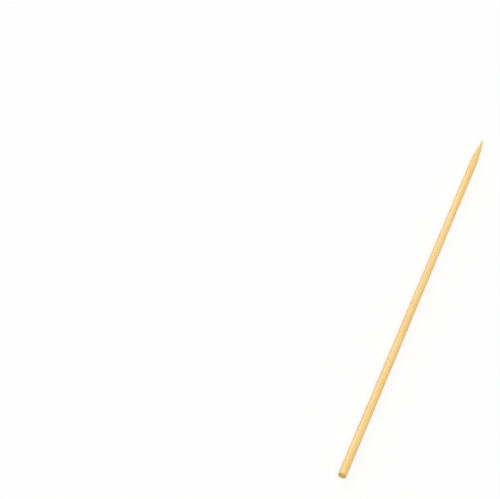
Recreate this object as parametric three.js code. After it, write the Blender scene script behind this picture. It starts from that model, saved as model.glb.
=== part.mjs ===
// Bamboo skewer: one straight round rod of split bamboo, all in one piece.
// One end is ground to a long, slightly bulging point. The other is sawn square, with its rim just broken.
//
// Millimetres, Z up. The skewer lies along X on the plane Z = 0, with its point towards +X, and the
// origin is under the middle of its length.

import * as THREE from 'three';

// Rod
const LENGTH = 250;
const DIAMETER = 4;

// Ground point
const POINT_LENGTH = 21;
const POINT_FULLNESS = 1.5; // 1 is a plain cone, and 2 a round-bellied bullet
const NOSE_RADIUS = 0.2;

// Sawn butt
const RIM_BREAK = 0.15;

// Fineness of the facets
const SIDES = 48;
const SHAFT_STEPS = 10;
const POINT_STEPS = 24;
const NOSE_STEPS = 3;
const RIM_STEPS = 3;

// Finish
const BAMBOO_COLOUR = 0xf4d191;
const BAMBOO_ROUGHNESS = 0.6;

const radius = DIAMETER / 2;
const buttEnd = -LENGTH / 2;
const tipEnd = LENGTH / 2;
const shoulder = tipEnd - POINT_LENGTH;

// Each facet touches the true round along its middle, and one of them faces down.
const facetHalfAngle = Math.PI / SIDES;
const cornerSpread = 1 / Math.cos(facetHalfAngle);

// Each part of the outline below is a list of points (distance from the axis, place along it).

// The butt face and the quarter round of its broken rim, from the axis outwards.
function buttOutline() {
  const points = [new THREE.Vector2(0, buttEnd)];
  for (let i = 0; i <= RIM_STEPS; i += 1) {
    const turn = (Math.PI / 2) * (i / RIM_STEPS);
    const out = radius - RIM_BREAK + RIM_BREAK * Math.sin(turn);
    const along = buttEnd + RIM_BREAK - RIM_BREAK * Math.cos(turn);
    points.push(new THREE.Vector2(out, along));
  }
  return points;
}

// The straight shaft, cut into equal lengths so that its facets stay short. Its first ring ends the butt.
function shaftOutline() {
  const start = buttEnd + RIM_BREAK;
  const points = [];
  for (let i = 1; i <= SHAFT_STEPS; i += 1) {
    const along = THREE.MathUtils.lerp(start, shoulder, i / SHAFT_STEPS);
    points.push(new THREE.Vector2(radius, along));
  }
  return points;
}

// The point: a curve that leaves the shaft in line with it and ends as a narrow cone, closed by a round nose.
// Its slope at the nose sets where the round nose takes over.
function pointOutline() {
  const noseSlope = (POINT_FULLNESS * (radius - NOSE_RADIUS)) / (POINT_LENGTH - NOSE_RADIUS);
  const noseAngle = Math.atan(noseSlope);
  const neck = NOSE_RADIUS * Math.cos(noseAngle);
  const neckPlace = tipEnd - NOSE_RADIUS + NOSE_RADIUS * Math.sin(noseAngle);
  const points = [];
  for (let i = 1; i <= POINT_STEPS; i += 1) {
    const share = i / POINT_STEPS;
    const out = neck + (radius - neck) * (1 - share ** POINT_FULLNESS);
    const along = THREE.MathUtils.lerp(shoulder, neckPlace, share);
    points.push(new THREE.Vector2(out, along));
  }
  for (let i = 1; i < NOSE_STEPS; i += 1) {
    const turn = THREE.MathUtils.lerp(noseAngle, Math.PI / 2, i / NOSE_STEPS);
    const out = NOSE_RADIUS * Math.cos(turn);
    const along = tipEnd - NOSE_RADIUS + NOSE_RADIUS * Math.sin(turn);
    points.push(new THREE.Vector2(out, along));
  }
  points.push(new THREE.Vector2(0, tipEnd));
  return points;
}

// The whole outline turned about the rod's axis, then laid down along X on a facet.
function skewerGeometry() {
  const outline = [...buttOutline(), ...shaftOutline(), ...pointOutline()];
  const geometry = new THREE.LatheGeometry(outline, SIDES);
  geometry.scale(cornerSpread, 1, cornerSpread);
  geometry.rotateY(facetHalfAngle);
  geometry.rotateZ(-Math.PI / 2);
  geometry.translate(0, 0, radius);
  return geometry;
}

const bamboo = new THREE.MeshStandardMaterial({
  color: BAMBOO_COLOUR,
  roughness: BAMBOO_ROUGHNESS,
  metalness: 0,
});

const skewer = new THREE.Mesh(skewerGeometry(), bamboo);
skewer.name = 'skewer';

const model = new THREE.Group();
model.add(skewer);

export default model;
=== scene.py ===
import math

import bpy
import numpy as np
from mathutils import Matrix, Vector


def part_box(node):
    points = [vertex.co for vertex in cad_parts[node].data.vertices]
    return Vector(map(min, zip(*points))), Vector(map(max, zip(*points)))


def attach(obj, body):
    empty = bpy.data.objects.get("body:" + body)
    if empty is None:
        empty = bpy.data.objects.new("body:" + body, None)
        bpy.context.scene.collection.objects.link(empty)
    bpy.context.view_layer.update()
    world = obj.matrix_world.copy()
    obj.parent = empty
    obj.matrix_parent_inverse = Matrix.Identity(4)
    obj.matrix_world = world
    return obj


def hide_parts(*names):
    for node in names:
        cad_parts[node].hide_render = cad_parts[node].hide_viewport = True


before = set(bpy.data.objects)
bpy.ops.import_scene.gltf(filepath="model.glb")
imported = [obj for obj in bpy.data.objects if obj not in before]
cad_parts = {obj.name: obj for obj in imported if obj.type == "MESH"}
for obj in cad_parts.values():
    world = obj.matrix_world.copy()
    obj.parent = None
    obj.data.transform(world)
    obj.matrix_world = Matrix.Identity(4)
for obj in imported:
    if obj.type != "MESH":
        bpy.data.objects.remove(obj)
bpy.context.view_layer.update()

# Metres and the row's own frame: the skewer lies along X with its point towards +X, on the plane Z = 0.
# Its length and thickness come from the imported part.
NODE = "skewer"
BODY = "root"
MM = 0.001
low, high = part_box(NODE)
BUTT_END = low.x
TIP_END = high.x
RADIUS = (high.z - low.z) / 2
AXIS_Y = (high.y + low.y) / 2
AXIS_Z = (high.z + low.z) / 2

# The ground point and the sawn butt, as the part has them
POINT_LENGTH = 21 * MM
POINT_FULLNESS = 1.5
NOSE_RADIUS = 0.2 * MM
RIM_BREAK = 0.15 * MM
SHOULDER = TIP_END - POINT_LENGTH

# Fineness of the mesh
SIDES = 192
SHAFT_RINGS = 230
POINT_RINGS = 84
NOSE_RINGS = 6
RIM_RINGS = 5
FACE_RINGS = 34

# Fibre bundles: hard strands that run along the rod in paler, softer wood
BUNDLE_SEED = 7
BUNDLE_SPACING = 0.46 * MM
BUNDLE_JITTER = 0.08 * MM
BUNDLE_RADIUS = (0.07 * MM, 0.15 * MM)
BUNDLE_REACH = 1.25  # in its radii. It fades over the last radius of that.
GRAIN_SLOPE = (0.0052, -0.0037)  # how far the grain leans off the rod's axis, in Y and in Z
GRAIN_WANDER = 0.10 * MM
GRAIN_WANDER_LENGTH = 115 * MM
FIELD_RADIUS = RADIUS + 0.9 * MM

# Relief, all of it cut into the true round
SOFT_DEPTH = 0.014 * MM  # how far the soft wood lies below the bundles
STREAK_DEPTH = 0.012 * MM
STREAK_WAVES = {"orders": (5, 60), "wavelength": 140 * MM, "count": 40}
GRIND_DEPTH = 0.010 * MM
GRIND_PITCH = 0.75 * MM
GRIND_FADE = 2 * MM  # the length over which the grinding sets in, from the shoulder on
GRIND_WOBBLE = (3.0, 2.2)  # how unevenly its marks go round the point, once and twice a turn
SAW_DEPTH = 0.018 * MM
SAW_PITCH = 0.33 * MM
SAW_ANGLE = math.radians(28)
SAW_BOW = 0.35  # in pitches
SAW_BEAT = 2.7  # pitches from one deep score to the next
SAW_SHARE = 0.6  # of the depth. The rest is soft wood below the bundles.
SAW_FADE_RINGS = 3
RIM_WEAR = 0.07 * MM
RIM_WAVES = {"orders": (6, 50), "wavelength": 1.0, "count": 24}
WAVE_HEIGHT = 1.6  # brings a sum of waves to about -1 to 1

# The piece's own map: the side unrolled across the top, and the butt face in a corner below it
MAP_NAME = "OFBake"  # the map's name
SIDE_MAP_BOTTOM = 0.24
FACE_MAP_MIDDLE = (0.115, 0.115)
FACE_MAP_RADIUS = 0.105

# Camera, from the photograph's perspective. Azimuth 0 looks along +Y.
CAMERA_PLACE = Vector((-523.7, -108.2, 547.0)) * MM
CAMERA_AZIMUTH = math.radians(-69.06)
CAMERA_ELEVATION = math.radians(44.4)
FOCAL_PIXELS = 1500
FRAME_PIXELS = 500
SENSOR_WIDTH = 36.0

# Light: the shares of a level floor's light. They add up to 1, at which a colour renders as it is written.
SKY_SHARE = 0.23
OVERHEAD_SHARE = 0.585
OVERHEAD_SPREAD = math.radians(50)
OVERHEAD_LEAN = (-0.50, -0.40)  # towards +X and +Y, for a height of 1
SIDE_SHARE = 0.185
SIDE_SPREAD = math.radians(40)
SIDE_LEAN = (1.5, 1.3)

# Floor
FLOOR_SIZE = 8.0
FLOOR_WHITE = (0.992, 0.992, 0.990)  # as the camera sees it in full light
FLOOR_IN_SHADE = (0.88, 0.79, 0.71)  # as the camera sees it in full shade
FLOOR_BOUNCE = 0.47  # the grey that it shows to the skewer


def srgb(red, green, blue):
    """A colour written as it looks on screen, 0 to 255, in Blender's linear values."""
    linear = []
    for value in (red, green, blue):
        share = value / 255
        linear.append(share / 12.92 if share <= 0.04045 else ((share + 0.055) / 1.055) ** 2.4)
    return (*linear, 1.0)


# Colours of the bamboo
PALE_STRAW = srgb(251, 228, 166)
STRAW = srgb(251, 219, 144)
GOLD = srgb(250, 208, 119)
STRAND_BROWN = srgb(226, 173, 97)
END_GRAIN = srgb(244, 204, 108)
END_PALE = srgb(253, 219, 130)
END_DOT = srgb(176, 124, 52)

# How much of a colour goes over the ones before it
PATCH_SHARE = 0.7
TIP_SHARE = 0.8
TIP_STRETCH = (0.66, 0.96)  # where it grows, as shares of the rod's length
STRAND_SHARE = 0.62
FIBRE_SHARE = 0.34
DOT_SHARE = 0.8
PORE_SHARE = 0.5

# How fine each noise is, in waves to the metre along X, Y and Z
PATCH_SCALE = (26, 520, 520)
BREAK_SCALE = (160, 2600, 2600)
FIBRE_SCALE = (220, 9000, 9000)
MOTTLE_SCALE = (900, 900, 900)
PORE_SCALE = (7000, 7000, 7000)

# Surface
SIDE_ROUGHNESS = (0.44, 0.6)
SIDE_SPECULAR = 0.5
FIBRE_BUMP = 0.02 * MM
END_ROUGHNESS = (0.7, 0.85)
END_SPECULAR = 0.3
PORE_BUMP = 0.03 * MM
SHEEN = 0.15  # the fuzz of cut fibres
SHEEN_ROUGHNESS = 0.4


def angle_sum(angles, place, rng, orders, wavelength, count):
    """A seamless pattern of lengthwise streaks: waves round the rod that drift slowly along it."""
    total = np.zeros(np.broadcast(angles, place).shape)
    for _ in range(count):
        order = rng.integers(*orders)
        drift = rng.normal(0, 1) * 2 * math.pi / wavelength
        phase = rng.uniform(0, 2 * math.pi)
        total += np.cos(order * angles + drift * place + phase)
    return total / math.sqrt(count) / WAVE_HEIGHT


def bundle_centres():
    """Centres and radii of the fibre bundles over the rod's section: a jittered hexagonal field."""
    rng = np.random.default_rng(BUNDLE_SEED)
    centres = []
    row_step = BUNDLE_SPACING * math.sqrt(3) / 2
    rows = int(FIELD_RADIUS / row_step) + 1
    for row in range(-rows, rows + 1):
        offset = BUNDLE_SPACING / 2 * (row % 2)
        for column in range(-rows, rows + 1):
            place = np.array([column * BUNDLE_SPACING + offset, row * row_step])
            place += rng.normal(0, BUNDLE_JITTER, 2)
            size = rng.uniform(*BUNDLE_RADIUS)
            if np.hypot(*place) < FIELD_RADIUS:
                centres.append((*place, size))
    return np.array(centres)


def bundles_at(points, centres):
    """How far each point is inside a fibre bundle, from 0 outside to 1 at its middle."""
    along = points[:, 0]
    wander = GRAIN_WANDER * np.sin(2 * math.pi * along / GRAIN_WANDER_LENGTH)
    across = points[:, 1] - AXIS_Y - GRAIN_SLOPE[0] * along - wander
    upward = points[:, 2] - AXIS_Z - GRAIN_SLOPE[1] * along
    found = np.zeros(len(points))
    for y, z, size in centres:
        distance = np.hypot(across - y, upward - z) / size
        found = np.maximum(found, np.clip(BUNDLE_REACH - distance, 0, 1))
    return found * found * (3 - 2 * found)


def outline():
    """(place along the rod, radius) of each ring, from the butt's rim to the nose."""
    rings = []
    for i in range(RIM_RINGS + 1):
        turn = math.pi / 2 * i / RIM_RINGS
        out = RADIUS - RIM_BREAK + RIM_BREAK * math.sin(turn)
        rings.append((BUTT_END + RIM_BREAK - RIM_BREAK * math.cos(turn), out))
    shaft_start = BUTT_END + RIM_BREAK
    for i in range(1, SHAFT_RINGS + 1):
        rings.append((shaft_start + (SHOULDER - shaft_start) * i / SHAFT_RINGS, RADIUS))
    nose_angle = math.atan(POINT_FULLNESS * (RADIUS - NOSE_RADIUS) / (POINT_LENGTH - NOSE_RADIUS))
    neck = NOSE_RADIUS * math.cos(nose_angle)
    neck_place = TIP_END - NOSE_RADIUS + NOSE_RADIUS * math.sin(nose_angle)
    for i in range(1, POINT_RINGS + 1):
        share = i / POINT_RINGS
        out = neck + (RADIUS - neck) * (1 - share**POINT_FULLNESS)
        rings.append((SHOULDER + (neck_place - SHOULDER) * share, out))
    for i in range(1, NOSE_RINGS):
        turn = nose_angle + (math.pi / 2 - nose_angle) * i / NOSE_RINGS
        place = TIP_END - NOSE_RADIUS + NOSE_RADIUS * math.sin(turn)
        rings.append((place, NOSE_RADIUS * math.cos(turn)))
    return np.array(rings)


def side_points(centres):
    """The rod's round surface, ring by ring, with its relief, and the strand and streak at each point."""
    rings = outline()
    angles = 2 * math.pi * np.arange(SIDES) / SIDES
    place = rings[:, 0][:, None] + 0 * angles
    round_radius = rings[:, 1][:, None] + 0 * angles
    turned = angles[None, :] + 0 * place

    def to_points(radius, along):
        y = AXIS_Y + radius * np.cos(turned)
        z = AXIS_Z + radius * np.sin(turned)
        return np.stack([along, y, z], -1).reshape(-1, 3)

    rng = np.random.default_rng(BUNDLE_SEED + 1)
    streak = angle_sum(turned, place, rng, **STREAK_WAVES)
    strand = bundles_at(to_points(round_radius, place), centres).reshape(place.shape)
    ground = np.clip((place - SHOULDER) / GRIND_FADE, 0, 1)
    wobble = GRIND_WOBBLE[0] * np.sin(turned) + GRIND_WOBBLE[1] * np.sin(2 * turned + 1)
    swirl = np.sin(2 * math.pi * place / GRIND_PITCH + wobble)
    rim = np.clip(1 - (place - BUTT_END) / RIM_BREAK, 0, 1)
    wear = np.clip(angle_sum(turned, 0 * place, rng, **RIM_WAVES), -1, 1)
    cut = SOFT_DEPTH * (1 - strand) + STREAK_DEPTH * (0.5 + 0.5 * np.clip(streak, -1, 1))
    cut += ground * GRIND_DEPTH * (0.5 + 0.5 * swirl)
    cut += rim * RIM_WEAR * (0.5 + 0.5 * wear)
    thinned = round_radius - cut * round_radius / RADIUS
    return to_points(thinned, place), strand.ravel(), streak.ravel()


def face_points(rim_points, centres):
    """The sawn face inside its rim: rings that shrink to the axis, scored by the saw, the bundles proud."""
    middle = np.array([BUTT_END, AXIS_Y, AXIS_Z])
    shares = 1 - np.arange(1, FACE_RINGS) / FACE_RINGS
    flat = middle + (rim_points - middle)[None, :, :] * shares[:, None, None]
    flat[:, :, 0] = BUTT_END
    flat = flat.reshape(-1, 3)
    strand = bundles_at(flat, centres)
    y, z = flat[:, 1] - AXIS_Y, flat[:, 2] - AXIS_Z
    across = y * math.cos(SAW_ANGLE) + z * math.sin(SAW_ANGLE)
    lengthways = z * math.cos(SAW_ANGLE) - y * math.sin(SAW_ANGLE)
    bow = SAW_BOW * (lengthways / RADIUS) ** 2 * SAW_PITCH
    score = np.sin(2 * math.pi * (across + bow) / SAW_PITCH)
    score *= np.sin(2 * math.pi * across / (SAW_BEAT * SAW_PITCH))
    inside = np.clip((1 - np.repeat(shares, SIDES)) * FACE_RINGS / SAW_FADE_RINGS, 0, 1)
    depth = SAW_SHARE * (0.5 + 0.5 * score) + (1 - SAW_SHARE) * (1 - strand)
    flat[:, 0] += inside * SAW_DEPTH * depth
    return flat, strand


def skewer_mesh():
    """One closed mesh: the sawn face, the round side and the nose."""
    centres = bundle_centres()
    side, side_strand, side_streak = side_points(centres)
    face, face_strand = face_points(side[:SIDES], centres)
    butt_middle = np.array([[BUTT_END + SAW_DEPTH / 2, AXIS_Y, AXIS_Z]])
    nose_end = np.array([[TIP_END, AXIS_Y, AXIS_Z]])
    points = np.vstack([side, face, butt_middle, nose_end])

    side_rings = len(side) // SIDES
    faces = []
    for ring in range(side_rings - 1):
        a, b = ring * SIDES, (ring + 1) * SIDES
        for i in range(SIDES):
            j = (i + 1) % SIDES
            faces.append((a + i, a + j, b + j, b + i))
    nose = len(points) - 1
    last = (side_rings - 1) * SIDES
    faces += [(last + i, last + (i + 1) % SIDES, nose) for i in range(SIDES)]
    side_faces = len(faces)
    starts = [0] + [len(side) + ring * SIDES for ring in range(FACE_RINGS - 1)]
    for a, b in zip(starts, starts[1:]):
        for i in range(SIDES):
            j = (i + 1) % SIDES
            faces.append((a + j, a + i, b + i, b + j))
    middle = len(points) - 2
    faces += [(starts[-1] + (i + 1) % SIDES, starts[-1] + i, middle) for i in range(SIDES)]

    mesh = bpy.data.meshes.new(NODE + "_bamboo")
    mesh.from_pydata(points.tolist(), [], faces)
    slots = np.zeros(len(faces), np.int32)
    slots[side_faces:] = 1
    mesh.polygons.foreach_set("material_index", slots)
    mesh.polygons.foreach_set("use_smooth", np.ones(len(faces), bool))
    add_values(mesh, "strand", np.concatenate([side_strand, face_strand, [0.0, 0.0]]))
    add_values(mesh, "streak", np.concatenate([side_streak, np.zeros(len(face) + 2)]))
    lay_out_map(mesh, points, side_rings)
    mesh.validate()
    mesh.update()
    return mesh


def lay_out_map(mesh, points, side_rings):
    """Places every face on the bake's map, right way round. The mesh lists its side first, ring by ring."""
    vertices = np.empty(len(mesh.loops), np.int32)
    mesh.loops.foreach_get("vertex_index", vertices)
    places = points[vertices]
    column = np.arange(SIDES)
    quads = np.stack([column, column + 1, column + 1, column], -1).ravel()
    nose = np.stack([column, column + 1, column + 0.5], -1).ravel()
    turn = np.concatenate([np.tile(quads, side_rings - 1), nose]) / SIDES
    side, face = slice(len(turn)), slice(len(turn), None)
    spots = np.empty((len(vertices), 2))
    spots[side, 0] = (places[side, 0] - BUTT_END) / (TIP_END - BUTT_END)
    spots[side, 1] = 1 - turn * (1 - SIDE_MAP_BOTTOM)
    spots[face, 0] = FACE_MAP_MIDDLE[0] - (places[face, 1] - AXIS_Y) / RADIUS * FACE_MAP_RADIUS
    spots[face, 1] = FACE_MAP_MIDDLE[1] + (places[face, 2] - AXIS_Z) / RADIUS * FACE_MAP_RADIUS
    mesh.uv_layers.new(name=MAP_NAME).uv.foreach_set("vector", spots.astype(np.float32).ravel())


def add_values(mesh, name, values):
    layer = mesh.attributes.new(name, "FLOAT", "POINT")
    layer.data.foreach_set("value", values.astype(np.float32))


class Nodes:
    """Short forms for the few kinds of shader node used here."""

    def __init__(self, name):
        self.material = bpy.data.materials.new(name)
        self.material.use_nodes = True
        self.tree = self.material.node_tree
        self.tree.nodes.clear()

    def add(self, kind, **values):
        node = self.tree.nodes.new(kind)
        for key, value in values.items():
            setattr(node, key, value)
        return node

    def link(self, source, target):
        self.tree.links.new(source, target)

    def value(self, name):
        return self.add("ShaderNodeAttribute", attribute_name=name).outputs["Fac"]

    def along(self):
        """How far along the rod, from 0 at the butt to 1 at the tip."""
        place = self.add("ShaderNodeSeparateXYZ")
        self.link(self.add("ShaderNodeTexCoord").outputs["Object"], place.inputs["Vector"])
        return self.spread(place.outputs["X"], BUTT_END, TIP_END)

    def noise(self, stretch, detail=2.0, roughness=0.55):
        place = self.add("ShaderNodeTexCoord").outputs["Object"]
        scaled = self.add("ShaderNodeMapping")
        scaled.inputs["Scale"].default_value = stretch
        self.link(place, scaled.inputs["Vector"])
        noise = self.add("ShaderNodeTexNoise")
        noise.inputs["Scale"].default_value = 1.0
        noise.inputs["Detail"].default_value = detail
        noise.inputs["Roughness"].default_value = roughness
        self.link(scaled.outputs["Vector"], noise.inputs["Vector"])
        return noise.outputs["Fac"]

    def spread(self, source, start, end, out_start=0.0, out_end=1.0):
        node = self.add("ShaderNodeMapRange")
        node.inputs["From Min"].default_value = start
        node.inputs["From Max"].default_value = end
        node.inputs["To Min"].default_value = out_start
        node.inputs["To Max"].default_value = out_end
        self.link(source, node.inputs["Value"])
        return node.outputs["Result"]

    def math(self, operation, first, second):
        node = self.add("ShaderNodeMath", operation=operation)
        for socket, value in zip(node.inputs, (first, second)):
            if isinstance(value, (int, float)):
                socket.default_value = value
            else:
                self.link(value, socket)
        return node.outputs["Value"]

    def mix(self, share, first, second, blend="MIX"):
        node = self.add("ShaderNodeMix", data_type="RGBA", blend_type=blend)
        factor, one, two = node.inputs[0], node.inputs[6], node.inputs[7]
        for socket, value in ((factor, share), (one, first), (two, second)):
            if isinstance(value, (int, float, tuple)):
                socket.default_value = value
            else:
                self.link(value, socket)
        return node.outputs[2]

    def bump(self, height, strength, distance):
        node = self.add("ShaderNodeBump")
        node.inputs["Strength"].default_value = strength
        node.inputs["Distance"].default_value = distance
        self.link(height, node.inputs["Height"])
        return node.outputs["Normal"]

    def surface(self, colour, roughness, normal, specular):
        shader = self.add("ShaderNodeBsdfPrincipled")
        shader.inputs["Specular IOR Level"].default_value = specular
        shader.inputs["Sheen Weight"].default_value = SHEEN
        shader.inputs["Sheen Roughness"].default_value = SHEEN_ROUGHNESS
        self.link(colour, shader.inputs["Base Color"])
        self.link(roughness, shader.inputs["Roughness"])
        self.link(normal, shader.inputs["Normal"])
        output = self.add("ShaderNodeOutputMaterial")
        self.link(shader.outputs["BSDF"], output.inputs["Surface"])
        return self.material


def side_material():
    nodes = Nodes("bamboo_side")
    tone = nodes.spread(nodes.value("streak"), -0.9, 0.9)
    patches = nodes.spread(nodes.noise(PATCH_SCALE, detail=1.5), 0.3, 0.7)
    patches = nodes.math("MULTIPLY", patches, PATCH_SHARE)
    tipwards = nodes.spread(nodes.along(), *TIP_STRETCH, 0.0, TIP_SHARE)
    colour = nodes.mix(tone, PALE_STRAW, STRAW)
    colour = nodes.mix(nodes.math("MAXIMUM", patches, tipwards), colour, GOLD)
    broken = nodes.spread(nodes.noise(BREAK_SCALE, detail=3.0), 0.35, 0.65, 0.25, 1.0)
    strand = nodes.math("MULTIPLY", nodes.value("strand"), broken)
    colour = nodes.mix(nodes.math("MULTIPLY", strand, STRAND_SHARE), colour, STRAND_BROWN)
    fibre = nodes.noise(FIBRE_SCALE, detail=3.0, roughness=0.6)
    darker = nodes.spread(fibre, 0.25, 0.75, 0.0, FIBRE_SHARE)
    colour = nodes.mix(darker, colour, GOLD, "MULTIPLY")
    roughness = nodes.spread(fibre, 0.3, 0.7, *SIDE_ROUGHNESS)
    normal = nodes.bump(fibre, 0.5, FIBRE_BUMP)
    return nodes.surface(colour, roughness, normal, SIDE_SPECULAR)


def end_material():
    nodes = Nodes("bamboo_end")
    mottle = nodes.noise(MOTTLE_SCALE, detail=3.0)
    colour = nodes.mix(nodes.spread(mottle, 0.35, 0.65), END_GRAIN, END_PALE)
    dots = nodes.math("MULTIPLY", nodes.value("strand"), DOT_SHARE)
    colour = nodes.mix(dots, colour, END_DOT)
    pores = nodes.noise(PORE_SCALE, detail=2.0)
    colour = nodes.mix(nodes.spread(pores, 0.58, 0.72, 0.0, PORE_SHARE), colour, END_DOT)
    roughness = nodes.spread(pores, 0.3, 0.7, *END_ROUGHNESS)
    normal = nodes.bump(pores, 0.6, PORE_BUMP)
    return nodes.surface(colour, roughness, normal, END_SPECULAR)


def make_skewer():
    piece = bpy.data.objects.new("bamboo_skewer", skewer_mesh())
    piece.data.materials.append(side_material())
    piece.data.materials.append(end_material())
    bpy.context.scene.collection.objects.link(piece)
    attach(piece, BODY)
    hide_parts(NODE)


def make_camera():
    data = bpy.data.cameras.new("camera")
    data.sensor_width = SENSOR_WIDTH
    data.lens = SENSOR_WIDTH * FOCAL_PIXELS / FRAME_PIXELS
    data.clip_start = 0.01
    data.clip_end = 50
    camera = bpy.data.objects.new("camera", data)
    camera.location = CAMERA_PLACE
    camera.rotation_euler = (math.pi / 2 - CAMERA_ELEVATION, 0, CAMERA_AZIMUTH)
    bpy.context.scene.collection.objects.link(camera)
    bpy.context.scene.camera = camera


def make_sun(name, direction, spread, floor_share):
    """A wide, even lamp in that direction, which gives a level floor the stated share of its light."""
    data = bpy.data.lights.new(name, "SUN")
    data.angle = spread
    data.energy = math.pi * floor_share / direction.normalized().z
    lamp = bpy.data.objects.new(name, data)
    lamp.rotation_mode = "QUATERNION"
    lamp.rotation_quaternion = direction.to_track_quat("Z", "Y")
    bpy.context.scene.collection.objects.link(lamp)


def make_lights():
    make_sun("overhead", Vector((*OVERHEAD_LEAN, 1.0)), OVERHEAD_SPREAD, OVERHEAD_SHARE)
    make_sun("side", Vector((*SIDE_LEAN, 1.0)), SIDE_SPREAD, SIDE_SHARE)


def seen_directly(nodes, links):
    """1 for what the camera sees, itself or in gloss or glass, and 0 for light on its way to the object."""
    path = nodes.new("ShaderNodeLightPath")
    seen = path.outputs["Is Camera Ray"]
    for name in ("Is Glossy Ray", "Is Transmission Ray"):
        either = nodes.new("ShaderNodeMath")
        either.operation = "MAXIMUM"
        links.new(seen, either.inputs[0])
        links.new(path.outputs[name], either.inputs[1])
        seen = either.outputs["Value"]
    return seen


def make_sky():
    world = bpy.data.worlds.new("sky")
    world.use_nodes = True
    nodes, links = world.node_tree.nodes, world.node_tree.links
    nodes.clear()
    light = nodes.new("ShaderNodeBackground")
    light.inputs["Color"].default_value = (1, 1, 1, 1)
    light.inputs["Strength"].default_value = SKY_SHARE
    backdrop = nodes.new("ShaderNodeBackground")
    backdrop.inputs["Color"].default_value = (*FLOOR_WHITE, 1)
    backdrop.inputs["Strength"].default_value = 1
    either = nodes.new("ShaderNodeMixShader")
    output = nodes.new("ShaderNodeOutputWorld")
    links.new(seen_directly(nodes, links), either.inputs[0])
    links.new(light.outputs["Background"], either.inputs[1])
    links.new(backdrop.outputs["Background"], either.inputs[2])
    links.new(either.outputs["Shader"], output.inputs["Surface"])
    bpy.context.scene.world = world


def floor_material():
    """White to the camera, with the shadow lightened as on a bright table, and plain grey to the light."""
    material = bpy.data.materials.new("floor")
    material.use_nodes = True
    nodes, links = material.node_tree.nodes, material.node_tree.links
    nodes.clear()
    bounce = nodes.new("ShaderNodeBsdfDiffuse")
    bounce.inputs["Color"].default_value = (FLOOR_BOUNCE, FLOOR_BOUNCE, FLOOR_BOUNCE, 1)
    lit = nodes.new("ShaderNodeBsdfDiffuse")
    lit.inputs["Color"].default_value = (*(w - s for w, s in zip(FLOOR_WHITE, FLOOR_IN_SHADE)), 1)
    glow = nodes.new("ShaderNodeEmission")
    glow.inputs["Color"].default_value = (*FLOOR_IN_SHADE, 1)
    glow.inputs["Strength"].default_value = 1
    white = nodes.new("ShaderNodeAddShader")
    either = nodes.new("ShaderNodeMixShader")
    output = nodes.new("ShaderNodeOutputMaterial")
    links.new(lit.outputs["BSDF"], white.inputs[0])
    links.new(glow.outputs["Emission"], white.inputs[1])
    links.new(seen_directly(nodes, links), either.inputs[0])
    links.new(bounce.outputs["BSDF"], either.inputs[1])
    links.new(white.outputs["Shader"], either.inputs[2])
    links.new(either.outputs["Shader"], output.inputs["Surface"])
    return material


def make_floor():
    half = FLOOR_SIZE / 2
    corners = [(-half, -half, 0), (half, -half, 0), (half, half, 0), (-half, half, 0)]
    mesh = bpy.data.meshes.new("floor")
    mesh.from_pydata(corners, [], [(0, 1, 2, 3)])
    mesh.materials.append(floor_material())
    floor = bpy.data.objects.new("floor", mesh)
    bpy.context.scene.collection.objects.link(floor)


make_camera()
make_lights()
make_sky()
make_floor()
make_skewer()
bpy.context.scene.view_settings.view_transform = "Standard"
